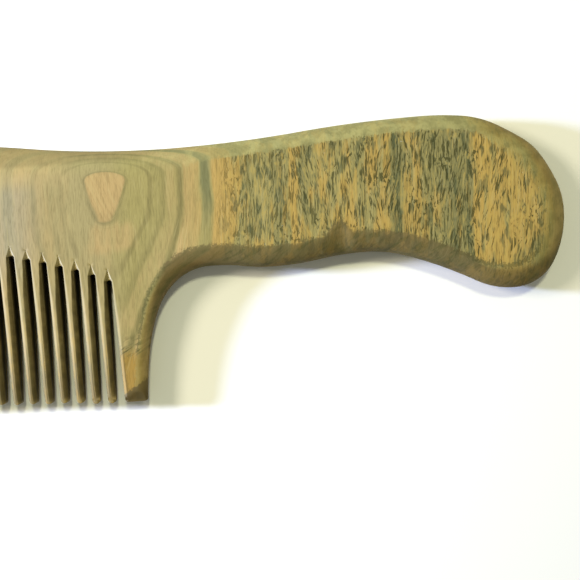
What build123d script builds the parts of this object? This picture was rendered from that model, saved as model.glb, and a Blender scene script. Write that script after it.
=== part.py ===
from build123d import *
import math
import os

# Wooden beard comb with a handle, lying flat on one of its two equal faces.
# X runs from the teeth towards the handle, Y from the tooth tips to the back, Z is the thickness.
# The comb is one board. It is stored as regions that meet on flat cuts: the back, the handle,
# the two guard teeth at the ends of the head, and each tooth.

# Driving dimensions, in millimetres
THICKNESS = 10.0
WIDTH = 58.8  # tooth tips to the crown of the back
HANDLE_LENGTH = 93.3  # outer face of the handle's guard to the end of the handle
EDGE_RADIUS = 4.4  # rounding of the outline on both faces

SLOT_COUNT = 27
PITCH = 3.4  # one tooth to the next
GUARD_TO_SLOT = 6.0  # outer face of a guard to the middle of its first slot
SLOT_TOP = 0.62  # half width of a slot at its round top
SLOT_MOUTH = 0.88  # half width of a slot between two tips
GUARD_MOUTH = 1.35  # the same on a guard's side
ROOT_RADIUS = 108.0  # arc on which the slots end
ROOT_CROWN = 36.1  # height of that arc in the middle of the head
TIP_RADIUS = 464.0  # arc on which the tips end
TIP_CROWN = 1.9
TIP_ROUND = 0.8
GUARD_ROUND = 0.9  # corners at the end of a guard

GROOVE_EDGE = 0.6  # how far the ground edge of a slot reaches over the tooth's face
GROOVE_DEPTH = 0.8
GROOVE_RUN_OUT = 2.8  # pointed end of the groove past the slot
GROOVE_ANGLE = 42.0

WEDGE_START = 47.0  # the head is full thickness above this height
BEVEL_START = 8.0  # and is bevelled to the tips below this one
BEVEL_HALF_THICKNESS = 2.4
TIP_HALF_THICKNESS = 1.0
WEDGE_FADE = 17.0  # length beside the head over which its wedge fades into the handle

HANDLE_START = 10.0  # cut between the back and the handle
GUARD_ROOT = 20.0  # cut between the back and the guards

HEAD_LENGTH = 2 * GUARD_TO_SLOT + (SLOT_COUNT - 1) * PITCH
HEAD_MIDDLE = -HEAD_LENGTH / 2
HALF = THICKNESS / 2
SPARE = 5.0  # how far a cutting shape reaches past the board

# The outline is drawn from the outer corner of the handle's guard, and the board's frame puts
# the middle of the comb's underside on the origin.
SHIFT = Vector((HEAD_LENGTH - HANDLE_LENGTH) / 2, -WIDTH / 2, 0)
BOARD = Plane(origin=SHIFT)
MIDPLANE = BOARD.offset(HALF)

SLOT_X = [-GUARD_TO_SLOT - number * PITCH for number in range(SLOT_COUNT)]
TOOTH_X = [x - PITCH / 2 for x in SLOT_X[:-1]]

# Stations of the outline: x, y and heading in degrees. Two tangent arcs join each pair.
OUTLINE = [
    (0.0, 0.0, 87),  # outer corner of the handle's guard
    (3.6, 19.2, 68),
    (15.2, 28.1, 2),  # underside of the handle, past the crotch
    (30.0, 26.9, 0),  # first finger hollow
    (49.5, 28.5, 0),  # second finger hollow
    (66.0, 24.1, -24),
    (81.5, 18.3, 0),  # underside of the bulb
    (HANDLE_LENGTH, 34.5, 90),  # end of the bulb
    (89.2, 46.5, 122),
    (80.5, 53.6, 150),
    (64.0, 56.9, 180),  # top of the bulb
    (10.0, 54.2, 180),  # waist
    (-22.0, 56.6, 171),
    (HEAD_MIDDLE, WIDTH, 180),  # crown of the back
    (-HEAD_LENGTH, 36.0, 270),  # shoulder at the far end
    (1.2 - HEAD_LENGTH, 0.0, 272),  # outer corner of the far guard
]


def arc_height(x, crown, radius):
    """Height at x of an arc that is highest in the middle of the head."""
    return crown - radius + math.sqrt(radius**2 - (x - HEAD_MIDDLE) ** 2)


def root_height(x):
    return arc_height(x, ROOT_CROWN, ROOT_RADIUS)


def tip_height(x):
    return arc_height(x, TIP_CROWN, TIP_RADIUS)


def face_height(y):
    """Height of the head's upper face at y, above the middle of the thickness."""
    slope = (HALF - BEVEL_HALF_THICKNESS) / (WEDGE_START - BEVEL_START)
    return HALF - slope * (WEDGE_START - y)


def heading(angle):
    return Vector(math.cos(math.radians(angle)), math.sin(math.radians(angle)))


def bend(start, end):
    """Two arcs, tangent to each other, from one station of the outline to the next."""
    begin = Vector(*start[:2])
    finish = Vector(*end[:2])
    leave = heading(start[2])
    arrive = heading(end[2])
    chord = finish - begin
    along = chord.dot(leave + arrive)
    turn = 2 * (1 - leave.dot(arrive))
    span = chord.dot(chord)
    if turn < 1e-6:
        reach = span / (2 * along)
    else:
        reach = (math.sqrt(along**2 + turn * span) - along) / turn
    near = begin + leave * reach
    far = finish - arrive * reach
    joint = (near + far) * 0.5
    TangentArc(begin, joint, tangent=leave)
    TangentArc(joint, finish, tangent=far - near)


# Wedge that thins one face of the head towards the tips and fades out beside the guard
with BuildPart() as wedge:
    for x, thinning in ((-HEAD_LENGTH - SPARE, 1), (0, 1), (WEDGE_FADE, 0)):
        bevel_start = HALF - thinning * (HALF - BEVEL_HALF_THICKNESS)
        bevel_end = HALF - thinning * (HALF - TIP_HALF_THICKNESS)
        with BuildSketch(Plane(origin=SHIFT + Vector(x, 0, HALF), x_dir=(0, 1, 0), z_dir=(1, 0, 0))):
            Polygon(
                (WEDGE_START, HALF),
                (WEDGE_START, HALF + SPARE),
                (-SPARE, HALF + SPARE),
                (-SPARE, bevel_end),
                (0, bevel_end),
                (BEVEL_START, bevel_start),
                align=None,
            )
    loft(ruled=True)

# Upper half of the board, then its mirror image
with BuildPart() as comb:
    with BuildSketch(MIDPLANE):
        with BuildLine():
            for start, end in zip(OUTLINE, OUTLINE[1:]):
                bend(start, end)
            Line(OUTLINE[-1][:2], OUTLINE[0][:2])
        make_face()
    extrude(amount=HALF)
    rim = comb.faces().sort_by(Axis.Z)[-1].edges().sort_by(Axis.Y)[1:]
    fillet(rim, EDGE_RADIUS)
    add(wedge.part, mode=Mode.SUBTRACT)

    # Round tips
    with BuildSketch(MIDPLANE):
        for x in TOOTH_X:
            with Locations((x, tip_height(x) + TIP_ROUND - SPARE / 2)):
                Rectangle(PITCH, SPARE)
        for x in TOOTH_X:
            with Locations((x, tip_height(x) + TIP_ROUND)):
                Circle(TIP_ROUND, mode=Mode.SUBTRACT)
    extrude(amount=HALF, mode=Mode.SUBTRACT)

    # Slots between the teeth
    with BuildSketch(MIDPLANE):
        for x in SLOT_X:
            top = root_height(x) - SLOT_TOP
            right_mouth = GUARD_MOUTH if x == SLOT_X[0] else SLOT_MOUTH
            left_mouth = GUARD_MOUTH if x == SLOT_X[-1] else SLOT_MOUTH
            Polygon(
                (x - left_mouth, -SPARE),
                (x + right_mouth, -SPARE),
                (x + SLOT_TOP, top),
                (x - SLOT_TOP, top),
                align=None,
            )
            with Locations((x, top)):
                Circle(SLOT_TOP)
    extrude(amount=HALF, mode=Mode.SUBTRACT)

    # Ground edges of the slots, which run out to a point above each slot
    wedge_angle = math.degrees(math.atan2(HALF - face_height(0), WEDGE_START))
    face_origin = SHIFT + Vector(0, WEDGE_START, THICKNESS)
    with BuildSketch(Plane(origin=face_origin, x_dir=(1, 0, 0), z_dir=(0, 0, 1)).rotated((wedge_angle, 0, 0))):
        for x in SLOT_X:
            shoulder = root_height(x) - SLOT_TOP - WEDGE_START
            point = root_height(x) + GROOVE_RUN_OUT - WEDGE_START
            mouth = -WEDGE_START - SPARE
            Polygon(
                (x - SLOT_MOUTH - GROOVE_EDGE, mouth),
                (x + SLOT_MOUTH + GROOVE_EDGE, mouth),
                (x + SLOT_TOP + GROOVE_EDGE, shoulder),
                (x, point),
                (x - SLOT_TOP - GROOVE_EDGE, shoulder),
                align=None,
            )
    extrude(amount=-GROOVE_DEPTH, taper=GROOVE_ANGLE, mode=Mode.SUBTRACT)

    mirror(about=MIDPLANE)


def cell(left, right, top):
    """Rectangle of the board's plan from below the tips up to a cut at top."""
    with Locations(((left + right) / 2, (top - SPARE) / 2)):
        Rectangle(right - left, top + SPARE)


def handle_cell():
    with Locations((HANDLE_START + HANDLE_LENGTH / 2, WIDTH / 2)):
        Rectangle(HANDLE_LENGTH, WIDTH + SPARE)


def handle_guard_cell():
    cell(SLOT_X[0], HANDLE_START, GUARD_ROOT)


def end_guard_cell():
    cell(-HEAD_LENGTH - SPARE, SLOT_X[-1], GUARD_ROOT)


def tooth_cell(number):
    """Cell of one tooth, which ends where the rounding of its lower slot starts."""
    right = SLOT_X[number]
    left = SLOT_X[number + 1]
    cell(left, right, min(root_height(left), root_height(right)) - SLOT_TOP)


os.makedirs("parts", exist_ok=True)

with BuildPart() as handle:
    add(comb.part)
    with BuildSketch(BOARD):
        handle_cell()
    extrude(amount=THICKNESS, mode=Mode.INTERSECT)
handle.part.label = "handle"
export_step(handle.part, "parts/handle.step")

with BuildPart() as back:
    add(comb.part)
    with BuildSketch(BOARD):
        handle_cell()
        handle_guard_cell()
        end_guard_cell()
        for number in range(len(TOOTH_X)):
            tooth_cell(number)
    extrude(amount=THICKNESS, mode=Mode.SUBTRACT)
back.part.label = "back"
export_step(back.part, "parts/back.step")

with BuildPart() as handle_guard:
    add(comb.part)
    with BuildSketch(BOARD):
        handle_guard_cell()
    extrude(amount=THICKNESS, mode=Mode.INTERSECT)
    fillet(handle_guard.edges().filter_by(Axis.Z).group_by(Axis.Y)[0], GUARD_ROUND)
handle_guard.part.label = "handle_guard"
export_step(handle_guard.part, "parts/handle_guard.step")

with BuildPart() as end_guard:
    add(comb.part)
    with BuildSketch(BOARD):
        end_guard_cell()
    extrude(amount=THICKNESS, mode=Mode.INTERSECT)
    fillet(end_guard.edges().filter_by(Axis.Z).group_by(Axis.Y)[0], GUARD_ROUND)
end_guard.part.label = "end_guard"
export_step(end_guard.part, "parts/end_guard.step")

for number in range(len(TOOTH_X)):
    with BuildPart() as tooth:
        add(comb.part)
        with BuildSketch(BOARD):
            tooth_cell(number)
        extrude(amount=THICKNESS, mode=Mode.INTERSECT)
    name = f"tooth_{number + 1:02d}"
    tooth.part.label = name
    export_step(tooth.part, f"parts/{name}.step")
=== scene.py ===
import math

import bpy
import numpy as np
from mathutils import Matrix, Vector
from mathutils.geometry import delaunay_2d_cdt


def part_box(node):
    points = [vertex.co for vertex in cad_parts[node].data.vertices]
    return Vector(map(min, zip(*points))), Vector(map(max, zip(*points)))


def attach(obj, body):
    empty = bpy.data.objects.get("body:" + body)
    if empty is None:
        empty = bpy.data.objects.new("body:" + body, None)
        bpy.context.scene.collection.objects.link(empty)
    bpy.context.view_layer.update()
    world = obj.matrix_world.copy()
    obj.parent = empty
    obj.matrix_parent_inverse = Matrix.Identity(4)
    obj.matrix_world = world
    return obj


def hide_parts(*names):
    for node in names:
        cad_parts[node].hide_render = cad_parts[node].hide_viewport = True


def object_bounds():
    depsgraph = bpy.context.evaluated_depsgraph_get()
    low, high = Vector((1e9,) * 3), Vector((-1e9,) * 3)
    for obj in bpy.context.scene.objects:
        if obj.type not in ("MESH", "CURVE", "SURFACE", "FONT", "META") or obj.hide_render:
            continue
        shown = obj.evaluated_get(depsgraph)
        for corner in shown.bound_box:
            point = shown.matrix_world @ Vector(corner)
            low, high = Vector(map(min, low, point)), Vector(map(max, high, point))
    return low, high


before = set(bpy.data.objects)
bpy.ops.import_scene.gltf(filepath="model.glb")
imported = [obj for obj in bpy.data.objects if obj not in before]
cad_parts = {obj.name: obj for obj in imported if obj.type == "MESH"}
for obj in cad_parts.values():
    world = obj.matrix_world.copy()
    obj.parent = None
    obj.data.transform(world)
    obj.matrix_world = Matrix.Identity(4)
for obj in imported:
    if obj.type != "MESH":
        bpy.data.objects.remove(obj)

# Wooden beard comb, one board. Its plan is meshed in millimetres from the outer corner of the
# handle's guard, with X towards the handle and Y towards the back. Both faces are lifted off the
# middle of the thickness by one height function, and each region of the board becomes a piece.
cad_low, cad_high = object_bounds()
MM = 0.001

# ---------------------------------------------------------------- sizes taken from the frame


def middle_x(node):
    low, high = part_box(node)
    return (low.x + high.x) / 2 / MM


TEETH = sorted(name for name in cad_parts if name.startswith("tooth_"))
WIDTH = (cad_high.y - cad_low.y) / MM
THICKNESS = cad_high.z / MM
HALF = THICKNESS / 2
PITCH = (middle_x(TEETH[0]) - middle_x(TEETH[-1])) / (len(TEETH) - 1)
HEAD_LENGTH = (middle_x(TEETH[0]) + middle_x(TEETH[-1])) - 2 * cad_low.x / MM
CORNER_X = cad_low.x / MM + HEAD_LENGTH  # the guard's outer corner, the plan's origin
CORNER_Y = cad_low.y / MM
HANDLE_LENGTH = cad_high.x / MM - CORNER_X
HEAD_MIDDLE = -HEAD_LENGTH / 2
FIRST_SLOT = middle_x(TEETH[0]) + PITCH / 2 - CORNER_X
SLOT_X = [FIRST_SLOT - number * PITCH for number in range(len(TEETH) + 1)]
HANDLE_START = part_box("handle")[0].x / MM - CORNER_X
GUARD_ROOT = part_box("handle_guard")[1].y / MM - CORNER_Y

# ---------------------------------------------------------------- sizes of the shape, in mm

EDGE_RADIUS = 4.4
SLOT_TOP = 0.62  # half width of a slot at its top
SLOT_ROUND = 0.4  # height of the rounded end of a slot
SLOT_MOUTH = 0.88  # half width of a slot at its mouth
GUARD_MOUTH = 1.35  # and on the side of a guard
MOUTH_DROP = 5.0  # how far under the tips a slot reaches its mouth width
ROOT_RADIUS = 108.0
ROOT_CROWN = 36.1
TIP_RADIUS = 464.0
TIP_CROWN = 1.9
GUARD_ROUND = 0.6
GUARD_SIDE = 0.04  # X of the handle guard's outer side at its round corner
END_GUARD_SIDE = 1.18 - HEAD_LENGTH
LOWEST_ROW = 1.7  # height at which the walls of the slots pass into the round tips
GROOVE_EDGE = 0.38  # rounding of a slot's edges at its root
TOOTH_ROUND = 0.92  # and further down, where it covers the whole tooth
TOOTH_ROUND_RUN = 9.0
GROOVE_DEPTH = 0.95
GROOVE_RUN_OUT = 2.1
BEVEL_START = 8.0
GUARD_BEVEL = 4.7  # height of the guard's bevel at its outer side
BEVEL_SLANT = 0.62
BEVEL_HALF = 2.4
TIP_HALF = 0.9
WEDGE_START = 47.0
WEDGE_FADE = 17.0
WEDGE_SOFTNESS = 6.0
WEDGE_SLOPE = (HALF - BEVEL_HALF) / (WEDGE_START - BEVEL_START)
KNUCKLE_X = 44.9
EDGE_BAND = 0.6  # half height of the flat band left around the rim
EDGE_RISE = 1.04  # the rounding would rise this much above the face, so it meets it at an edge
CREASE = 0.08  # softness of the creases between the ground ends and the face
UNEVENNESS = 0.012
WALL_ROWS = 6
STEP = 0.6  # spacing of points along the outline and the slots
FACE_STEP = 0.7  # spacing of points on the open faces
FIXED_GAP = 0.045  # least gap of the other points from the edge and the cuts,
LINE_GAP = 0.06  # of the rows from the lines of the grooves,
FACE_GAP = 0.3  # and of the open face from all of these

# Stations of the outline: x, y and heading in degrees. Two tangent arcs join each pair.
OUTLINE = [
    (0.0, 0.0, 87),
    (3.6, 19.2, 68),
    (15.2, 28.1, 2),
    (30.0, 26.9, 0),
    (49.5, 28.5, 0),
    (66.0, 24.1, -24),
    (81.5, 18.3, 0),
    (HANDLE_LENGTH, 34.5, 90),
    (89.2, 46.5, 122),
    (80.5, 53.6, 150),
    (64.0, 56.9, 180),
    (10.0, 54.2, 180),
    (-22.0, 56.6, 171),
    (HEAD_MIDDLE, WIDTH, 180),
    (-HEAD_LENGTH, 36.0, 270),
    (1.2 - HEAD_LENGTH, 0.0, 272),
]

rng = np.random.default_rng(11)
ROOT_JITTER = rng.normal(0, 0.07, len(SLOT_X))
RUN_OUT_JITTER = rng.normal(0, 0.22, len(SLOT_X))
RUN_OUT_JITTER[:2] += (0.7, 0.4)  # the cuts run out further beside the guard
GROOVE_JITTER = rng.normal(0, 0.035, len(SLOT_X))
TIP_JITTER = rng.normal(0, 0.06, len(TEETH))

# ---------------------------------------------------------------- plan of the board


def arc_height(x, crown, radius):
    return crown - radius + math.sqrt(radius**2 - (x - HEAD_MIDDLE) ** 2)


ROOT_Y = [arc_height(x, ROOT_CROWN, ROOT_RADIUS) + dy for x, dy in zip(SLOT_X, ROOT_JITTER)]
SLOT_END = [y - SLOT_ROUND for y in ROOT_Y]  # where the rounded end starts
RUN_OUT = GROOVE_RUN_OUT + SLOT_ROUND + RUN_OUT_JITTER  # length of the groove past it
MOUTHS = [(SLOT_MOUTH, SLOT_MOUTH) for _ in SLOT_X]  # half widths, left and right
MOUTHS[0] = (SLOT_MOUTH, GUARD_MOUTH)
MOUTHS[-1] = (GUARD_MOUTH, SLOT_MOUTH)


def unit(angle):
    return np.array([math.cos(math.radians(angle)), math.sin(math.radians(angle))])


def tangent_arc(start, end, leave):
    """Arc from start to end leaving along `leave`: centre, signed radius, first angle, sweep."""
    chord = end - start
    side = np.array([-leave[1], leave[0]])
    radius = chord @ chord / (2 * chord @ side)
    centre = start + side * radius
    first = math.atan2(*(start - centre)[::-1])
    sweep = 2 * math.atan2(chord @ side, chord @ leave)
    return (*centre, radius, first, sweep)


def bend(start, end):
    """The two tangent arcs from one station of the outline to the next."""
    begin, finish = np.array(start[:2]), np.array(end[:2])
    leave, arrive = unit(start[2]), unit(end[2])
    chord = finish - begin
    along = chord @ (leave + arrive)
    turn = 2 * (1 - leave @ arrive)
    span = chord @ chord
    if turn < 1e-6:
        reach = span / (2 * along)
    else:
        reach = (math.sqrt(along**2 + turn * span) - along) / turn
    near = begin + leave * reach
    far = finish - arrive * reach
    joint = (near + far) / 2
    middle = (far - near) / np.linalg.norm(far - near)
    return [tangent_arc(begin, joint, leave), tangent_arc(joint, finish, middle)]


ARCS = np.array([arc for pair in zip(OUTLINE, OUTLINE[1:]) for arc in bend(*pair)])


def arc_points(arc):
    """Points along an arc, without its last one, and the inward normals there."""
    cx, cy, radius, first, sweep = arc
    steps = max(2, math.ceil(abs(radius * sweep) / STEP))
    angle = first + sweep * np.arange(steps) / steps
    out = np.stack([np.cos(angle), np.sin(angle)], 1)
    return np.array([cx, cy]) + abs(radius) * out, -out * np.sign(radius)


def outline_depth(p):
    """How far each point lies inside the outline; the straight ends of the teeth don't count."""
    best = np.full(len(p), 1e9)
    for cx, cy, radius, first, sweep in ARCS:
        rel = p - (cx, cy)
        dist = np.hypot(rel[:, 0], rel[:, 1])
        turn = (np.arctan2(rel[:, 1], rel[:, 0]) - first) * np.sign(sweep)
        inside_sweep = np.mod(turn + 0.01, 2 * np.pi) <= abs(sweep) + 0.02
        depth = (abs(radius) - dist) * np.sign(radius)
        closer = inside_sweep & (np.abs(depth) < np.abs(best))
        best = np.where(closer, depth, best)
    return best


def nearest_slot(x):
    index = np.rint((SLOT_X[0] - x) / PITCH).astype(int)
    return np.clip(index, 0, len(SLOT_X) - 1)


def slot_half(index, y, side):
    """Half width of a slot at height y; side 0 is its left wall and 1 its right one."""
    mouth = np.array(MOUTHS)[index, side]
    end = np.array(SLOT_END)[index]
    share = np.clip((y + MOUTH_DROP) / (end + MOUTH_DROP), 0, 1)
    return mouth + (SLOT_TOP - mouth) * share


def beside_slot(p):
    """The nearest slot to each point, the distance from its middle and its half width there."""
    x, y = p.T
    index = nearest_slot(x)
    dx = x - np.array(SLOT_X)[index]
    half = np.where(dx < 0, slot_half(index, y, 0), slot_half(index, y, 1))
    return index, dx, half


def slot_depth(p):
    """How far each point lies outside the nearest slot."""
    y = p[:, 1]
    index, dx, half = beside_slot(p)
    end = np.array(SLOT_END)[index]
    rounded = np.hypot(dx, (y - end) * SLOT_TOP / SLOT_ROUND) - SLOT_TOP
    return np.where(y < end, np.abs(dx) - half, rounded)


def smooth_step(value):
    t = np.clip(value, 0, 1)
    return t * t * (3 - 2 * t)


def soft_positive(value, softness):
    return (value + np.sqrt(value**2 + softness**2)) / 2


def hump(value, width):
    return np.exp(-((value / width) ** 2))


def rim_softness(x, y):
    """Where the rounding runs smoothly into the face: along the back and at the handle's end."""
    end = smooth_step((x - 72) / 12)
    back = smooth_step((20 - x) / 16) * smooth_step((y - 34) / 8)
    return np.maximum(end, back)


def edge_width(x, y):
    """How far in from the outline the rounding reaches. It is wider on the underside of the handle
    and widest at the knuckle between the two finger hollows."""
    under = smooth_step((46 - y) / 10) * smooth_step((x - 3) / 8)
    knuckle = 3.8 * hump(x - KNUCKLE_X, np.where(x < KNUCKLE_X, 2.8, 1.2))
    guard = 1.5 * smooth_step((30 - y) / 14) * smooth_step((9 - x) / 8)
    handle = under * (0.9 + knuckle) * (1 - smooth_step((x - 66) / 12))
    return EDGE_RADIUS + 0.2 + handle + 2.4 * rim_softness(x, y) - guard


def soft_min(one, other, softness):
    return (one + other - np.sqrt((one - other) ** 2 + softness**2)) / 2


def half_thickness(p):
    """Height of the face above the middle of the thickness."""
    x, y = p.T
    fade = 1 - smooth_step(x / WEDGE_FADE)
    face = HALF - WEDGE_SLOPE * soft_positive(WEDGE_START - y, WEDGE_SOFTNESS) * fade
    inward = np.clip(outline_depth(p) / edge_width(x, y), 0, 1)
    soft = rim_softness(x, y)
    rise = face * (EDGE_RISE - (EDGE_RISE - 1) * soft) - EDGE_BAND
    round_edge = EDGE_BAND + rise * np.sqrt(np.clip(1 - (1 - inward) ** 2, 0, 1))
    lift = soft_min(face, round_edge, 0.09 - 0.07 * soft)
    # bevelled ends of the guards and rounded ends of the teeth
    on_guard = (x > SLOT_X[0]) | (x < SLOT_X[-1])
    start = GUARD_BEVEL + BEVEL_SLANT * np.maximum(x, -HEAD_LENGTH - x)
    planar = TIP_HALF + (BEVEL_HALF + 0.1 - TIP_HALF) * np.clip(y / start, 0, 3)
    bow = 1 - np.clip(1 - y / BEVEL_START, 0, 1) ** 1.6
    rounded = TIP_HALF + (BEVEL_HALF + 0.15 - TIP_HALF) * bow
    rounded = np.where(y < BEVEL_START, rounded, 9.0)  # no limit above the ground ends
    lift = soft_min(lift, np.where(on_guard & (y < 12), planar, rounded), CREASE)
    # grooves along the slots, shallower where the board is thin
    lift = lift - groove(p)[1] * np.clip(lift / 2, 0.3, 1)
    # faint unevenness of a hand-sanded face
    wave = np.sin(x / 4.3 + y / 9.1) + np.sin(x / 7.7 - y / 5.2 + 2) + np.sin(y / 3.7 + x / 13 + 4)
    return np.clip(lift - UNEVENNESS * (wave + 3) * smooth_step(inward * 2), 0.3, HALF)


def groove(p):
    """How far each point is inside the rounded edge of the nearest slot, from 0 to 1, and how much
    the face drops there. Past the slot the edges meet in a valley that runs out to a point."""
    y = p[:, 1]
    index, dx, half = beside_slot(p)
    end = np.array(SLOT_END)[index]
    edge = GROOVE_EDGE + GROOVE_JITTER[index]
    edge = edge + (TOOTH_ROUND - GROOVE_EDGE) * smooth_step((end - y) / TOOTH_ROUND_RUN)
    past = np.clip((y - end) / RUN_OUT[index], 0, 1)
    width = (half + edge) * (1 - past)
    reach = edge + (width - edge) * smooth_step(past / 0.3)
    share = np.clip((width - np.abs(dx)) / np.maximum(reach, 0.02), 0, 0.97)
    convex = 1 - np.sqrt(1 - share**2)
    return share, GROOVE_DEPTH * (1 - past) * (convex + (share - convex) * smooth_step(past / 0.12))


# ---------------------------------------------------------------- points of the plan


def corner(cx, cy, radius, start, end, steps):
    angle = np.radians(np.linspace(start, end, steps + 1))
    return np.stack([cx + radius * np.cos(angle), cy + radius * np.sin(angle)], 1)


def wall_rows(index):
    """Heights of the points on the walls of a slot, from the tips to the round top."""
    length = SLOT_END[index] - LOWEST_ROW
    count = math.ceil(length / STEP)
    return LOWEST_ROW + length * np.arange(count + 1) / count


def wall(index, side, rows):
    """Points at these heights on the left wall of a slot (side 0) or on its right one (side 1)."""
    sign = 1 if side else -1
    half = slot_half(np.full(len(rows), index), rows, side)
    return np.stack([SLOT_X[index] + sign * half, rows], 1)


def tip(number):
    """Round end of a tooth, from its left wall to its right one."""
    left = wall(number + 1, 1, np.array([LOWEST_ROW]))[0]
    right = wall(number, 0, np.array([LOWEST_ROW]))[0]
    radius = (right[0] - left[0]) / 2
    x = (right[0] + left[0]) / 2
    y = arc_height(x, TIP_CROWN, TIP_RADIUS) + radius + TIP_JITTER[number]
    return corner(x, max(y, radius), radius, 180, 360, 12)


def guard_end(left, right):
    """Rounded bottom corners of a guard, from x = left to x = right."""
    first = corner(left + GUARD_ROUND, GUARD_ROUND, GUARD_ROUND, 180, 270, 8)
    second = corner(right - GUARD_ROUND, GUARD_ROUND, GUARD_ROUND, 270, 360, 8)
    return np.concatenate([first, second])


def boundary():
    """The closed edge of the plan, counterclockwise."""
    parts = []
    for arc in ARCS:
        points, _ = arc_points(arc)
        parts.append(points[points[:, 1] > GUARD_ROUND])
    inner = SLOT_X[-1] - float(slot_half(np.array([len(TEETH)]), 0.0, 0)[0])
    parts.append(guard_end(END_GUARD_SIDE, inner))
    for index in reversed(range(len(SLOT_X))):
        rows = wall_rows(index)
        first_row = 1 if index < len(TEETH) else 0
        parts.append(wall(index, 0, rows[first_row:-1]))
        end = corner(0, 0, 1, 180, 0, 12) * (SLOT_TOP, SLOT_ROUND)
        parts.append(end + (SLOT_X[index], SLOT_END[index]))
        last_row = 1 if index else 0
        parts.append(wall(index, 1, rows[last_row:-1])[::-1])
        if index:
            parts.append(tip(index - 1))
    inner = SLOT_X[0] + float(slot_half(np.array([0]), 0.0, 1)[0])
    parts.append(guard_end(inner, GUARD_SIDE))
    return np.concatenate(parts)


def keep_apart(points, others, gap):
    """Drops the points that lie within gap of any of the others."""
    keep = np.ones(len(points), bool)
    for start in range(0, len(points), 2000):
        block = points[start : start + 2000]
        near = np.abs(others[:, 0][None] - block[:, 0][:, None]) < gap
        near &= np.abs(others[:, 1][None] - block[:, 1][:, None]) < gap
        keep[start : start + 2000] = ~near.any(1)
    return points[keep]


def edge_rings():
    """Rows of points parallel to the outline, closer where the rounding is steeper."""
    angles = np.radians(np.arange(9, 76, 8))
    shares = [*(1 - np.cos(angles)), 0.66, 0.69, 0.72, 0.75, 0.85, 1.0]
    rings = []
    for arc in ARCS:
        points, normals = arc_points(arc)
        for share in shares:
            depth = share * edge_width(*points.T)  # and once more, at the place that this gives
            depth = share * edge_width(*(points + normals * depth[:, None]).T)
            ring = points + normals * depth[:, None]
            clear = outline_depth(ring) > share * edge_width(*ring.T) - 0.05
            rings.append(ring[clear & (ring[:, 1] > 0.5)])
    return np.concatenate(rings)


def tooth_rows():
    """Rows of points across each tooth and beside each guard's slot."""
    offsets = np.array([0.03, 0.09, 0.19, 0.31, 0.45, 0.6, 0.78])
    rows = []
    for index in range(len(SLOT_X)):
        heights = wall_rows(index)
        for side in (0, 1):
            sign = 1 if side else -1
            base = wall(index, side, heights)
            for offset in offsets:
                rows.append(base + (sign * offset, 0))
        if index:
            rows.append((wall(index, 1, heights) + wall(index - 1, 0, heights)) / 2)
    return np.concatenate(rows)


def groove_lines():
    """Points across the pointed end of each slot's rounded edge."""
    lines = []
    past = np.linspace(0, 1, 18)
    for index, x in enumerate(SLOT_X):
        y = SLOT_END[index] + past * RUN_OUT[index]
        width = (SLOT_TOP + GROOVE_EDGE + GROOVE_JITTER[index]) * (1 - past)
        for share in (0.0, 0.05, 0.12, 0.25, 0.45, 0.65, 0.85, 1.0, 1.05):
            lines.append(np.stack([x + share * width, y], 1))
            lines.append(np.stack([x - share * width, y], 1))
    points = np.concatenate(lines)
    return np.unique(np.round(points[slot_depth(points) > 0.04], 3), axis=0)


def open_face():
    """A triangular grid of points over the rest of the board."""
    xs = np.arange(-HEAD_LENGTH, HANDLE_LENGTH, FACE_STEP)
    ys = np.arange(0.5, WIDTH, FACE_STEP * 0.866)
    grid_x, grid_y = np.meshgrid(xs, ys)
    grid_x = grid_x + (np.arange(len(ys)) % 2)[:, None] * FACE_STEP / 2
    points = np.stack([grid_x.ravel(), grid_y.ravel()], 1)
    return points[(outline_depth(points) > 0.3) & (slot_depth(points) > 0.3)]


def cut_lines():
    """Segments along which the board is divided into its named regions."""
    cuts = []
    dense = np.concatenate([np.linspace(0, 0.5, 8)[1:], np.linspace(0.5, 6, 16)[1:]])

    def cut(start, end):
        """Points from start to end, closer together near both ends."""
        start, end = np.array(start), np.array(end)
        length = np.linalg.norm(end - start)
        steps = dense[dense < length / 2]
        inset = steps[-1] if len(steps) else 0
        middle = np.arange(inset, length - inset, STEP)[1:]
        t = np.concatenate([[0], steps, middle, length - steps[::-1], [length]]) / length
        cuts.append(start + (end - start) * np.unique(np.round(t, 6))[:, None])

    for number in range(len(TEETH)):
        y = min(SLOT_END[number], SLOT_END[number + 1])
        left = wall(number + 1, 1, np.array([y]))[0]
        right = wall(number, 0, np.array([y]))[0]
        cut(left, right)
    low = outline_crossing(0, HANDLE_START, 20, 35)
    high = outline_crossing(0, HANDLE_START, 45, WIDTH)
    cut((HANDLE_START, low), (HANDLE_START, high))
    right = outline_crossing(1, GUARD_ROOT, 0, 8)
    cut(wall(0, 1, np.array([GUARD_ROOT]))[0], (right, GUARD_ROOT))
    left = outline_crossing(1, GUARD_ROOT, -HEAD_LENGTH - 3, -HEAD_LENGTH + 3)
    cut((left, GUARD_ROOT), wall(len(TEETH), 0, np.array([GUARD_ROOT]))[0])
    return cuts


def outline_crossing(axis, value, low, high):
    """Where the outline crosses x = value (axis 0) or y = value (axis 1), by bisection."""

    def depth(t):
        point = (value, t) if axis == 0 else (t, value)
        return outline_depth(np.array([point]))[0]

    inside_high = depth(high) > depth(low)
    for _ in range(40):
        middle = (low + high) / 2
        if (depth(middle) > 0) == inside_high:
            high = middle
        else:
            low = middle
    return (low + high) / 2


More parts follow.
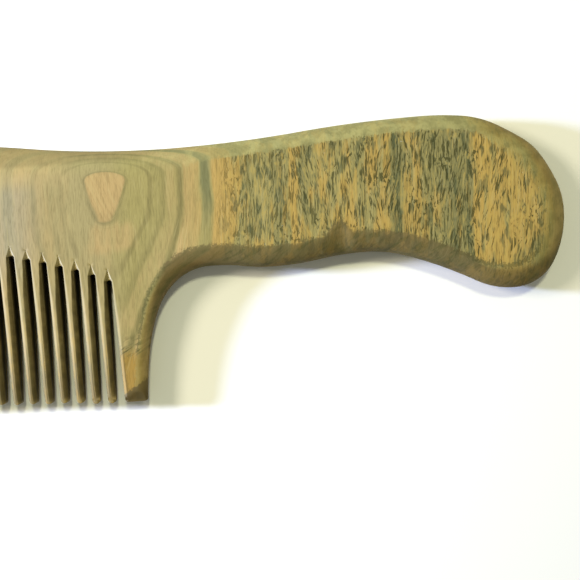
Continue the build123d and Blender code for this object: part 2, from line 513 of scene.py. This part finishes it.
def region_names(p):
    """The node that each point of the plan belongs to."""
    x, y = p.T
    index = np.clip(np.floor((SLOT_X[0] - x) / PITCH).astype(int), 0, len(TEETH) - 1)
    root = np.minimum(np.array(SLOT_END)[index], np.array(SLOT_END)[index + 1])
    names = np.array(TEETH, dtype=object)[index]
    names = np.where(y > root, "back", names)
    names = np.where((x > SLOT_X[0]) & (y < GUARD_ROOT), "handle_guard", names)
    names = np.where((x > SLOT_X[0]) & (y >= GUARD_ROOT), "back", names)
    names = np.where((x < SLOT_X[-1]) & (y < GUARD_ROOT), "end_guard", names)
    names = np.where((x < SLOT_X[-1]) & (y >= GUARD_ROOT), "back", names)
    return np.where(x > HANDLE_START, "handle", names)


def triangulate():
    """Points and triangles of the plan."""
    edge = boundary()
    count = len(edge)
    constraints = [(i, (i + 1) % count) for i in range(count)]
    fixed = [edge]
    for line in cut_lines():
        constraints += [(count + i, count + i + 1) for i in range(len(line) - 1)]
        fixed.append(line)
        count += len(line)
    fixed = np.concatenate(fixed)
    lines = keep_apart(groove_lines(), fixed, FIXED_GAP)
    rows = keep_apart(np.concatenate([tooth_rows(), edge_rings()]), fixed, FIXED_GAP)
    rows = keep_apart(rows, lines, LINE_GAP)
    rows = np.unique(np.round(rows, 3), axis=0)
    face = keep_apart(open_face(), np.concatenate([fixed, lines, rows]), FACE_GAP)
    everything = np.concatenate([fixed, lines, rows, face])
    result = delaunay_2d_cdt([tuple(p) for p in everything.tolist()], constraints, [], 0, 1e-5)
    verts = np.array([tuple(v) for v in result[0]])
    tris = np.array([f for f in result[2] if len(f) == 3])
    centre = verts[tris].mean(1)
    good = (outline_depth(centre) > 0) & (slot_depth(centre) > 0) & inside_loop(centre, edge)
    return verts, tris[good]


def inside_loop(p, loop):
    """Even-odd test of points against the closed edge."""
    inside = np.zeros(len(p), bool)
    following = np.roll(loop, -1, axis=0)
    for start in range(0, len(p), 4000):
        x, y = p[start : start + 4000].T
        above = (loop[:, 1][None] > y[:, None]) != (following[:, 1][None] > y[:, None])
        run = (following[:, 0] - loop[:, 0])[None]
        rise = (following[:, 1] - loop[:, 1])[None]
        rise = np.where(rise == 0, 1e-9, rise)
        cross = loop[:, 0][None] + (y[:, None] - loop[:, 1][None]) * run / rise
        inside[start : start + 4000] = (above & (x[:, None] < cross)).sum(1) % 2 == 1
    return inside


# ---------------------------------------------------------------- pieces


def face_normals(p):
    """Height of the upper face over the middle of the thickness at each point, and its normal."""
    step = 0.01
    here = half_thickness(p)
    gx = (half_thickness(p + (step, 0)) - half_thickness(p - (step, 0))) / (2 * step)
    gy = (half_thickness(p + (0, step)) - half_thickness(p - (0, step))) / (2 * step)
    normal = np.stack([-gx, -gy, np.ones(len(p))], 1)
    return here, normal / np.linalg.norm(normal, axis=1)[:, None]


def wall_normals(plan, rim):
    """The edges of the rim with the normals of the wall at both ends, each the mean of the pieces
    of wall that meet there at a shallow angle."""
    outward = {}
    at_vertex = {}
    for a, b in rim:
        along = plan[b] - plan[a]
        out = np.array([along[1], -along[0]]) / max(np.hypot(*along), 1e-9)
        outward[(a, b)] = out
        for v in (a, b):
            at_vertex.setdefault(v, []).append(out)
    ends = {}
    for edge, out in outward.items():
        means = [np.mean([n for n in at_vertex[v] if n @ out > 0.7], axis=0) for v in edge]
        ends[edge] = [np.append(mean / np.linalg.norm(mean), 0.0) for mean in means]
    return ends


def build_piece(name, verts, tris, lift, normals):
    """One region as a closed mesh: upper face, lower face and the walls between them."""
    used, flat = np.unique(tris, return_inverse=True)
    tris = flat.reshape(-1, 3)
    plan = verts[used]
    height = lift[used]
    normal = normals[used]
    count = len(used)
    edges = np.concatenate([tris[:, [0, 1]], tris[:, [1, 2]], tris[:, [2, 0]]]).tolist()
    keys = {tuple(e) for e in edges}
    rim = [e for e in edges if (e[1], e[0]) not in keys]

    coords = [np.column_stack([plan, HALF + height]), np.column_stack([plan, HALF - height])]
    total = 2 * count
    between = WALL_ROWS - 1
    share = np.arange(1, WALL_ROWS) / WALL_ROWS
    columns = {}  # the points down the wall below each point of the rim
    for v in sorted({v for e in rim for v in e}):
        place = np.repeat(plan[v][None], between, 0)
        coords.append(np.column_stack([place, HALF + height[v] * (1 - 2 * share)]))
        columns[v] = [v, *range(total, total + between), count + v]
        total += between
    coords = np.concatenate(coords)

    under = tris[:, ::-1]
    faces = tris.tolist() + (under + count).tolist()
    walls = []
    for (a, b), (start, end) in wall_normals(plan, rim).items():
        one, other = columns[a], columns[b]
        for row in range(WALL_ROWS):
            faces.append([one[row + 1], other[row + 1], other[row], one[row]])
            walls += [start, end, end, start]
    mirrored = normal * (1, 1, -1)
    loop_normals = [normal[tris.ravel()], mirrored[under.ravel()], np.array(walls)]

    mesh = bpy.data.meshes.new(name + "_wood")
    placed = (coords + (CORNER_X, CORNER_Y, 0)) * MM
    mesh.from_pydata(placed.tolist(), [], faces)
    mesh.polygons.foreach_set("use_smooth", [True] * len(mesh.polygons))
    mesh.normals_split_custom_set(np.concatenate(loop_normals).tolist())
    add_masks(mesh, coords)
    piece = bpy.data.objects.new(name + "_wood", mesh)
    bpy.context.scene.collection.objects.link(piece)
    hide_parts(name)
    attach(piece, "root")
    return piece


def add_masks(mesh, coords):
    """Marks the rounded edges of the slots and, by depth, their walls, which carry painted
    highlight and shade.
    """
    p = coords[:, :2]
    depth = half_thickness(p) - np.abs(coords[:, 2] - HALF)
    wall_mask = smooth_step(depth / 2.2) * (slot_depth(p) < 0.02)
    inward = np.clip(outline_depth(p) / edge_width(*p.T), 0, 1.3)
    share = groove(p)[0]
    run_out = (share > 0) & (p[:, 1] > np.array(SLOT_END)[nearest_slot(p[:, 0])] + SLOT_ROUND / 2)
    masks = {"slot_edge": share, "run_out": run_out, "slot_wall": wall_mask, "inward": inward}
    for label, values in masks.items():
        mask = mesh.attributes.new(label, "FLOAT", "POINT")
        mask.data.foreach_set("value", values.astype(np.float32))


def build_board():
    verts, tris = triangulate()
    lift, normals = face_normals(verts)
    names = region_names(verts[tris].mean(1))
    return [build_piece(name, verts, tris[names == name], lift, normals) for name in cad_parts]


# ---------------------------------------------------------------- material


class Field:
    """A number that varies over the material, with the arithmetic done by math nodes."""

    tree = None

    def __init__(self, socket):
        self.socket = socket

    @classmethod
    def node(cls, kind, output, settings=None, **inputs):
        node = cls.tree.nodes.new("ShaderNode" + kind)
        for key, value in (settings or {}).items():
            setattr(node, key, value)
        for key, value in inputs.items():
            socket = node.inputs[int(key[1:]) if key[0] == "_" else key]
            if isinstance(value, Field):
                cls.tree.links.new(value.socket, socket)
            else:
                socket.default_value = value
        return Field(node.outputs[output])

    def math(self, operation, *others):
        inputs = {"_%d" % number: value for number, value in enumerate((self, *others))}
        return Field.node("Math", 0, {"operation": operation}, **inputs)

    def __add__(self, other):
        return self.math("ADD", other)

    def __sub__(self, other):
        return self.math("SUBTRACT", other)

    def __rsub__(self, other):
        return (self * -1) + other

    def __mul__(self, other):
        return self.math("MULTIPLY", other)

    def __truediv__(self, other):
        return self.math("DIVIDE", other)

    __radd__ = __add__
    __rmul__ = __mul__

    def at_least(self, other):
        return self.math("MAXIMUM", other)

    def between(self, low, high):
        """0 at low, 1 at high and smooth between them."""
        span = {"_1": low, "_2": high, "_3": 0.0, "_4": 1.0}
        return Field.node("MapRange", 0, {"interpolation_type": "SMOOTHSTEP"}, Value=self, **span)

    def within(self, start, full, fade, end):
        """1 from full to fade, and 0 before start and after end."""
        return self.between(start, full) * self.between(end, fade)

    def ramp(self, stops, length):
        """Value that follows the stops, given as (place, value)."""
        node = Field.tree.nodes.new("ShaderNodeValToRGB")
        Field.tree.links.new((self / length).socket, node.inputs[0])
        elements = node.color_ramp.elements
        while len(elements) < len(stops):
            elements.new(0.5)
        for element, (place, value) in zip(elements, stops):
            element.position = place / length
            element.color = (value, value, value, 1)
        return Field(node.outputs["Color"])


def vector(x, y, z):
    return Field.node("CombineXYZ", 0, X=x, Y=y, Z=z)


def noise(place, detail=2.0, roughness=0.5, distortion=0.0):
    """Smooth noise from 0 to 1, one feature to each unit of place."""
    levels = {"Scale": 1.0, "Detail": detail, "Roughness": roughness, "Distortion": distortion}
    return Field.node("TexNoise", "Fac", Vector=place, **levels)


def grain(at, size, shift=0.0, detail=2.0, roughness=0.5, distortion=0.0, lean=0.0):
    """Noise with features of this size in mm: across the grain, along it and in depth."""
    across, along, deep = size
    x = at.x + at.y * lean if lean else at.x
    place = vector(x / across, at.y / along, at.z / deep + shift)
    return noise(place, detail, roughness, distortion)


def blend(amount, under, over):
    layers = {"_0": amount, "_6": socket_colour(under), "_7": socket_colour(over)}
    return Field.node("Mix", 2, {"data_type": "RGBA"}, **layers)


def socket_colour(value):
    return value if isinstance(value, Field) else (*value, 1)


LIGHT_ON_FACE = 1.45  # how brightly the studio lights an upward face


def wood_tone(red, green, blue):
    """Reflectance of wood that looks like this 8-bit colour under the studio's light."""
    return tuple((value / 255) ** 2.2 / LIGHT_ON_FACE for value in (red, green, blue))


GRAIN_SKEW = 0.078
GRAIN_MIDDLE = 42.0
PITH_X = -5.2
PITH_DEPTH = 57.0  # from the upper face up to the pith of the tree
OLIVE_HEAD = wood_tone(180, 165, 115)
ORANGE_HEAD = wood_tone(202, 172, 116)
OLIVE = wood_tone(175, 162, 102)
ORANGE = wood_tone(207, 171, 92)
DARK = wood_tone(74, 74, 42)
BLUE_GREY = wood_tone(122, 128, 92)
LAVENDER = wood_tone(184, 174, 146)
# End grain, made lighter as painted light for the rims that face the lamps.
LIT_END_GRAIN = wood_tone(188, 182, 120)
# Painted shade on the rims that face the right.
SIDE = wood_tone(182, 160, 106)
# Painted shade on the rims, bevels and teeth that face away from the lamps; also a brown line near
# the back.
BROWN_AND_SHADE = wood_tone(116, 101, 66)
SAND = wood_tone(222, 194, 136)
TEAL = wood_tone(82, 92, 66)
CHIP = wood_tone(225, 222, 205)
PALE = wood_tone(212, 196, 136)
YELLOW = wood_tone(205, 178, 96)
# Painted highlight on the slot edges that face the lamps.
HIGHLIGHT_CREAM = wood_tone(252, 240, 205)
# Dark brown of the rings; also painted shade on the flanks of the teeth and on the guards' bevels.
DARK_BROWN_AND_SHADE = wood_tone(84, 74, 46)
# Painted shade in the depth of the slots.
SLOT_SHADE = wood_tone(48, 42, 26)
OCHRE = wood_tone(178, 142, 68)

# How orange the rings are and how dark, by their distance across the upper face from the pith
RING_SPAN = 112.0
ORANGE_RINGS = [
    (0.0, 1.0), (4.2, 1.0), (4.8, 0.05), (9.2, 0.1), (9.8, 0.0), (12.4, 0.15), (13.2, 0.4),
    (15.0, 0.4), (15.7, 0.1), (16.6, 0.6), (19.6, 0.55), (20.2, 0.1), (22.0, 0.1), (22.8, 0.85),
    (26.2, 0.8), (27.2, 0.05), (37.0, 0.25), (38.6, 0.3), (39.4, 0.9), (41.2, 0.8), (42.2, 0.2),
    (46.0, 0.5), (52.0, 0.4), (60.0, 0.35), (62.4, 0.1), (65.0, 0.7), (68.0, 0.25), (77.6, 0.15),
    (78.8, 0.85), (91.0, 0.75), (94.0, 0.3), (112.0, 0.3),
]
DARK_RINGS = [
    (0.0, 0.0), (4.3, 0.0), (4.7, 0.35), (5.3, 0.0), (9.3, 0.0), (9.8, 0.5), (10.5, 0.05),
    (12.0, 0.1), (12.5, 0.4), (13.1, 0.05), (14.9, 0.05), (15.6, 0.65), (16.5, 0.05), (19.8, 0.0),
    (21.0, 0.15), (23.0, 0.0), (28.0, 0.25), (34.0, 0.1), (37.3, 0.5), (38.8, 0.05), (41.0, 0.1),
    (42.0, 0.45), (43.5, 0.1), (60.4, 0.15), (62.0, 0.85), (63.6, 0.2), (71.0, 0.3), (75.0, 0.6),
    (76.4, 0.3), (77.7, 0.85), (78.6, 0.05), (97.0, 0.25),
]


def growth_ring(at):
    """Distance from the pith, measured across the upper face, of the ring at each place. The pith
    runs along the grain above the board, and the rings dip with the wedge of the head."""
    x, y, z = at.x, at.y, at.z
    drift = grain(at, (13, 30, 8), 3.0, 1.5) - 0.5
    waver = grain(at, (2.2, 9, 2.2)) - 0.5
    skew = (GRAIN_MIDDLE - y).at_least(0.0) * x.between(26.0, 12.0) * x.between(-6.0, 4.0) * 0.12
    across = x - PITH_X + skew + drift * 1.2 + waver * 0.7
    above = WEDGE_START - y
    wedge = (above + (above * above + WEDGE_SOFTNESS**2).math("SQRT")) * (WEDGE_SLOPE / 2)
    dip = (48.0 - y).at_least(0.0) * 0.0135 + (39.3 - y).at_least(0.0) * 0.04
    depth = PITH_DEPTH + THICKNESS - z - wedge + dip
    squared = across * across + depth * depth - PITH_DEPTH**2
    return squared.at_least(0.0).math("SQRT")


class Place:
    """What the paint goes by: a place in the board, its growth ring and the masks of the parts."""


def wood_fields():
    """Fills a Place with the fields that the painting functions share."""
    tree = Field.tree
    split = tree.nodes.new("ShaderNodeSeparateXYZ")
    tree.links.new(tree.nodes.new("ShaderNodeTexCoord").outputs["Object"], split.inputs[0])
    x, y, z = (Field(output) * (1 / MM) for output in split.outputs)
    x = x - CORNER_X
    y = y - CORNER_Y
    at = Place()
    at.y, at.z = y, z
    at.outward = x.at_least(x * -1.0 - HEAD_LENGTH)  # measured outwards at both guards
    at.guard = at.outward.between(SLOT_X[0] - 0.1, SLOT_X[0] + 0.1)
    x = x - (y - GRAIN_MIDDLE) * GRAIN_SKEW  # the grain runs a little askew to the teeth
    at.x = x
    at.ring = growth_ring(at)
    at.coarse = x.between(16.0, 24.0).at_least(x.between(-52.0, -66.0) * 0.45)
    at.bulb = at.ring.between(78.5, 80.0)

    # The normal picks the sides for painted light: edges facing left get painted highlight, sides
    # facing right or the tips painted shade.
    normal = Field(tree.nodes.new("ShaderNodeNewGeometry").outputs["Normal"])
    at.sideways = Field.node("SeparateXYZ", 0, _0=normal)
    at.rightward = at.sideways.between(0.15, 0.5)
    at.downward = Field.node("SeparateXYZ", 1, _0=normal).between(-0.14, -0.36)  # towards the tips
    for label in ("inward", "slot_edge", "slot_wall", "run_out"):
        setattr(at, label, Field.node("Attribute", "Fac", {"attribute_name": label}))

    at.speckle = grain(at, (0.5, 0.6, 0.6), roughness=0.7) - 0.5
    at.patch = grain(at, (1.5, 9, 1.5), 50.0, 3.0, 0.6)
    at.mottle = grain(at, (3, 3, 3), detail=3.0, roughness=0.6)
    slanted = vector((x * 0.5 - y * 0.87) / 0.8, (x * 0.87 + y * 0.5) / 5, z / 3)
    at.streak = noise(slanted, 2.0, 0.6)

    # the flat of the face, which fades into the rim at the handle's end and along the back
    crisp = (at.inward + at.speckle * 0.5).between(0.72, 0.88)
    faded = (at.inward + at.speckle * 0.2).between(0.3, 1.0)
    fading = x.between(74.0, 84.0).at_least(x.between(20.0, 6.0) * y.between(34.0, 40.0))
    at.flat = crisp + (faded - crisp) * fading
    return at


def paint_rings(at):
    """Growth rings with patches and stripes, faint in the teeth and on the far side of the pith."""
    x, y, ring = at.x, at.y, at.ring
    plain = y.between(36.0, 30.0) * x.between(0.0, -6.0)
    plain = plain.at_least((x - PITH_X).between(-5.0, -9.0) * x.between(-45.0, -25.0) * 0.7)
    strength = 1.0 - plain * 0.8
    patch = at.patch - 0.5
    broad = grain(at, (3.4, 15, 4), 70.0, 1.5) - 0.5
    orange = ring.ramp(ORANGE_RINGS, RING_SPAN) * strength + plain * 0.3 + at.bulb * 0.15
    orange = orange + patch * (at.coarse * 2.4 + 0.6) + broad * at.coarse * 2.2
    orange = orange + x.within(-11.0, -7.0, -1.0, 4.0) * y.within(31.0, 34.0, 37.0, 41.0) * 0.45
    olive_tone = blend(x.between(-8.0, 1.0), OLIVE_HEAD, OLIVE)
    orange_tone = blend(x.between(6.0, 26.0), ORANGE_HEAD, ORANGE)
    wood = blend(orange.between(0.15, 0.8), olive_tone, orange_tone)

    stripe = ring.within(19.7, 20.4, 21.6, 22.4) * strength
    stripe = stripe * y.between(33.0, 45.0) * at.patch.between(0.25, 0.5)
    wood = blend(stripe * 0.7, wood, BLUE_GREY)
    wood = blend(x.between(-17.0, -25.0) * y.within(25.0, 35.0, 46.0, 52.0) * 0.6, wood, LAVENDER)
    wood = blend(x.between(-11.0, -16.0) * y.between(46.0, 50.0) * 0.35, wood, SAND)
    dark = ring.ramp(DARK_RINGS, RING_SPAN) * (1.0 - patch * 1.6) * strength
    wood = blend(dark * 0.85, wood, blend(at.coarse, DARK_BROWN_AND_SHADE, TEAL))
    teal = grain(at, (1.5, 5.5, 2), 33.0, 2.5, 0.6).between(0.54, 0.62)
    return blend(teal * at.coarse * 0.6, wood, TEAL)


def paint_guards(at, wood):
    """A yellow end under dark streaks."""
    ragged = at.y + at.speckle * 2.0
    knots = at.streak.between(0.54, 0.4) * ragged.between(9.5, 11.0) * at.y.between(15.0, 12.0)
    wood = blend(ragged.between(12.5, 9.0) * at.guard * 0.9, wood, OCHRE)
    return blend(knots * at.guard * 0.85, wood, DARK)


def paint_fibres(at, wood):
    """Fine fibres that follow the outer rings, lean across the first one and stand upright between.
    Also returns the fibres, for the bump."""
    outer = noise(vector(at.ring / 0.4, at.y / 8, at.z / 4), 3.0, 0.65)
    leaning = (at.x + at.y * (0.1 + 0.35 * at.ring.between(6.0, 4.5))) / 0.5
    inner = noise(vector(leaning, at.y / 6, at.z / 4), 3.0, 0.65)
    fibre = inner + (outer - inner) * at.ring.between(12.0, 17.0)
    hair = grain(at, (0.22, 2.6, 0.5), roughness=0.6)
    wood = blend(fibre.between(0.5, 0.32) * (at.coarse * 0.18 + 0.17), wood, DARK)
    wood = blend(hair.between(0.52, 0.36) * (at.coarse * 0.06 + 0.2), wood, DARK)
    return blend(fibre.between(0.52, 0.68) * (at.coarse * 0.1 + 0.2), wood, PALE), fibre


def paint_pores(at, wood):
    """Pores of the coarse figure: straight ticks, leaning ticks and curls. Also returns them."""
    tick = grain(at, (0.38, 3.6, 0.6), roughness=0.7)
    left = grain(at, (0.38, 3.0, 0.6), 7.0, roughness=0.7, lean=0.25)
    right = grain(at, (0.38, 3.0, 0.6), 3.0, roughness=0.7, lean=-0.25)
    curl = grain(at, (0.55, 1.4, 0.75), 5.0, roughness=0.6, distortion=0.5)
    choice = grain(at, (3.5, 14, 6), 9.0, 1.0)
    tick = tick + (left - tick) * choice.between(0.56, 0.6)
    tick = tick + (right - tick) * choice.between(0.44, 0.4)
    tick = tick + (curl - tick) * grain(at, (4, 5, 6), 20.0, 1.0).between(0.56, 0.62)
    density = grain(at, (2.0, 7.0, 3), 61.0, roughness=0.6) - 0.5
    tick = tick - density * 0.26 + at.bulb * 0.025
    pores = tick.between(0.48, 0.39) * at.coarse * (at.flat * 0.8 + 0.2)
    wood = blend(pores * (at.x.between(25.0, 50.0) * 0.24 + 0.6), wood, DARK)
    return blend(tick.between(0.56, 0.64) * at.coarse * at.flat * 0.45, wood, YELLOW), pores


def paint_rims(at, wood):
    """End grain with slanting streaks on the rims, with painted light and shade: lighter where the
    rims face the lamps and brown where they face the tips or the right; painted shade on the
    guards' bevels.
    """
    x, y = at.x, at.y
    # Painted shade: the rims that face the tips or the right, and the lower rim of the handle, are
    # painted brown.
    hollow = y.between(42.0, 36.0) * x.between(4.0, 8.0) * x.between(80.0, 72.0)
    underside = at.downward.at_least(hollow)
    shaded = underside.at_least(at.rightward)
    rim = (1.0 - at.flat) * (1.0 - at.slot_edge.between(0.0, 0.3))
    rim_grain_and_shade = blend(underside, blend(at.rightward, LIT_END_GRAIN, SIDE), BROWN_AND_SHADE)
    rim_grain_and_shade = blend(at.mottle.between(0.62, 0.4) * 0.35, rim_grain_and_shade, DARK)
    rim_grain_and_shade = blend(at.streak.between(0.5, 0.36) * underside * 0.6, rim_grain_and_shade, DARK)
    # The rim colour, with its painted light and shade, weighs more on the handle and on the shaded
    # rims.
    wood = blend(rim * (x.between(4.0, 26.0).at_least(shaded) * 0.4 + 0.35), wood, rim_grain_and_shade)
    wood = blend(y.between(51.5, 52.7) * x.between(6.0, -3.0) * 0.3, wood, BROWN_AND_SHADE)
    verge = (at.inward + at.speckle * 0.5).within(0.62, 0.7, 0.78, 0.86)
    wood = blend(verge * at.guard * y.within(9.0, 12.0, 24.0, 30.0) * 0.5, wood, DARK)
    # Painted shade on the guards' bevels, which face the tips: brown, darker towards the bottom.
    bevel = (at.outward * BEVEL_SLANT - y + at.speckle * 1.6 + GUARD_BEVEL).between(-0.3, 0.3)
    bevel_shade = blend(y.between(4.2, 1.0) * 0.75, BROWN_AND_SHADE, DARK_BROWN_AND_SHADE)
    return blend(bevel * y.between(8.0, 7.5) * at.guard * 0.9, wood, bevel_shade)


def paint_slots(at, wood):
    """Painted highlight, pale, on the slot edges that face the lamps; painted shade on the edges
    and flanks that face away and, darker with depth, down the walls; painted shade browning the
    lower teeth and their tips."""
    x, y = at.x, at.y
    tooth = (1.0 - at.guard) * x.between(5.0, 4.0)
    # Painted highlight: the slot edges that face the lamps are painted pale, most on the run-outs.
    lit = at.slot_edge.between(0.1, 0.4) * at.sideways.between(-0.15, -0.5)
    wood = blend(lit * (at.run_out * 0.45 + 0.12), wood, HIGHLIGHT_CREAM)
    # Painted shade: the lower teeth and their tips are painted brown.
    wood = blend(y.between(16.0, 3.0) * tooth * 0.6, wood, BROWN_AND_SHADE)
    # Painted shade: edges and flanks that face away from the lamps are painted dark brown, more so
    # lower down.
    flank = (at.sideways + y.between(22.0, 6.0) * 0.35).between(-0.1, 0.25)
    flank_shade = at.slot_edge.between(0.0, 0.25) * flank * (1.0 - at.run_out * 0.8)
    flank_shade = flank_shade * y.between(0.9, 2.4) * (at.mottle * 1.1 + 0.35).math("MINIMUM", 1.0)
    rust = grain(at, (0.9, 3.0, 1.0), 41.0, roughness=0.6).between(0.5, 0.62)
    wood = blend(rust * y.between(24.0, 14.0) * tooth * 0.3, wood, ORANGE)
    wood = blend(flank_shade * 0.85, wood, DARK_BROWN_AND_SHADE)
    # Painted shade down the walls of the slots, darker with depth.
    return blend(at.slot_wall.between(0.0, 0.9) * 0.94, wood, SLOT_SHADE)


def wood_material():
    material = bpy.data.materials.new("figured_wood")
    material.use_nodes = True
    tree = material.node_tree
    Field.tree = tree
    at = wood_fields()
    wood, fibre = paint_fibres(at, paint_guards(at, paint_rings(at)))
    wood, pores = paint_pores(at, wood)
    wood = paint_slots(at, paint_rims(at, wood))
    chip = grain(at, (1.5, 1.8, 1.5), 90.0, roughness=0.7).between(0.75, 0.8)
    wood = blend(chip * at.coarse * at.flat * 0.5, wood, CHIP)

    height = (fibre * 0.02 - pores * 0.05) * MM
    bump = Field.node("Bump", 0, Height=height, Distance=1.0, Strength=1.0)
    roughness = pores * 0.12 - at.slot_edge * 0.1 + 0.74
    shader = tree.nodes["Principled BSDF"]
    tree.links.new(wood.socket, shader.inputs["Base Color"])
    tree.links.new(bump.socket, shader.inputs["Normal"])
    tree.links.new(roughness.socket, shader.inputs["Roughness"])
    shader.inputs["Specular IOR Level"].default_value = 0.12
    return material


# ---------------------------------------------------------------- stage, light and camera


def add_floor():
    size = 1.5
    corners = [(-size, -size, 0), (size, -size, 0), (size, size, 0), (-size, size, 0)]
    mesh = bpy.data.meshes.new("floor")
    mesh.from_pydata(corners, [], [(0, 1, 2, 3)])
    floor = bpy.data.objects.new("floor", mesh)
    bpy.context.scene.collection.objects.link(floor)
    material = bpy.data.materials.new("pale_table")
    material.use_nodes = True
    shader = material.node_tree.nodes["Principled BSDF"]
    shader.inputs["Base Color"].default_value = (0.85, 0.85, 0.85, 1)
    mesh.materials.append(material)


def add_area_light(name, place, target, size, power, colour):
    data = bpy.data.lights.new(name, "AREA")
    data.shape = "DISK"
    data.size = size
    data.energy = power
    data.color = colour
    light = bpy.data.objects.new(name, data)
    light.location = place
    light.rotation_euler = (Vector(target) - Vector(place)).to_track_quat("-Z", "Y").to_euler()
    bpy.context.scene.collection.objects.link(light)


CAMERA_OVER = (32.7, 21.5)  # point of the plan under the camera
CAMERA_HEIGHT = 215.0
CAMERA_VIEW = 126.4  # width that the camera sees at the middle of the thickness
CAMERA_TURN = 4.5  # degrees, clockwise
SENSOR_WIDTH = 36


def add_camera():
    data = bpy.data.cameras.new("camera")
    data.sensor_width = SENSOR_WIDTH
    data.lens = SENSOR_WIDTH * CAMERA_HEIGHT / CAMERA_VIEW
    data.clip_start = 0.01
    camera = bpy.data.objects.new("camera", data)
    camera.location = (
        (CAMERA_OVER[0] + CORNER_X) * MM,
        (CAMERA_OVER[1] + CORNER_Y) * MM,
        (HALF + CAMERA_HEIGHT) * MM,
    )
    camera.rotation_euler = (0, 0, -math.radians(CAMERA_TURN))
    bpy.context.scene.collection.objects.link(camera)
    bpy.context.scene.camera = camera


def add_light():
    scene = bpy.context.scene
    scene.view_settings.view_transform = "Standard"
    world = bpy.data.worlds.new("studio")
    scene.world = world
    world.use_nodes = True
    background = world.node_tree.nodes["Background"]
    background.inputs["Color"].default_value = (1.0, 1.0, 0.8, 1)
    background.inputs["Strength"].default_value = 0.3
    centre = (0.0, 0.0, 0.0)
    add_area_light("key", (-0.45, 0.16, 0.45), centre, 0.19, 2.8, (1.0, 0.91, 0.67))
    add_area_light("top", (0.08, 0.22, 0.62), centre, 0.07, 1.6, (1.0, 1.0, 0.62))
    add_area_light("window", (-0.55, 0.08, 0.222), centre, 0.07, 7.4, (0.52, 0.62, 1.0))


wood = wood_material()
for piece in build_board():
    piece.data.materials.append(wood)
add_floor()
add_light()
add_camera()
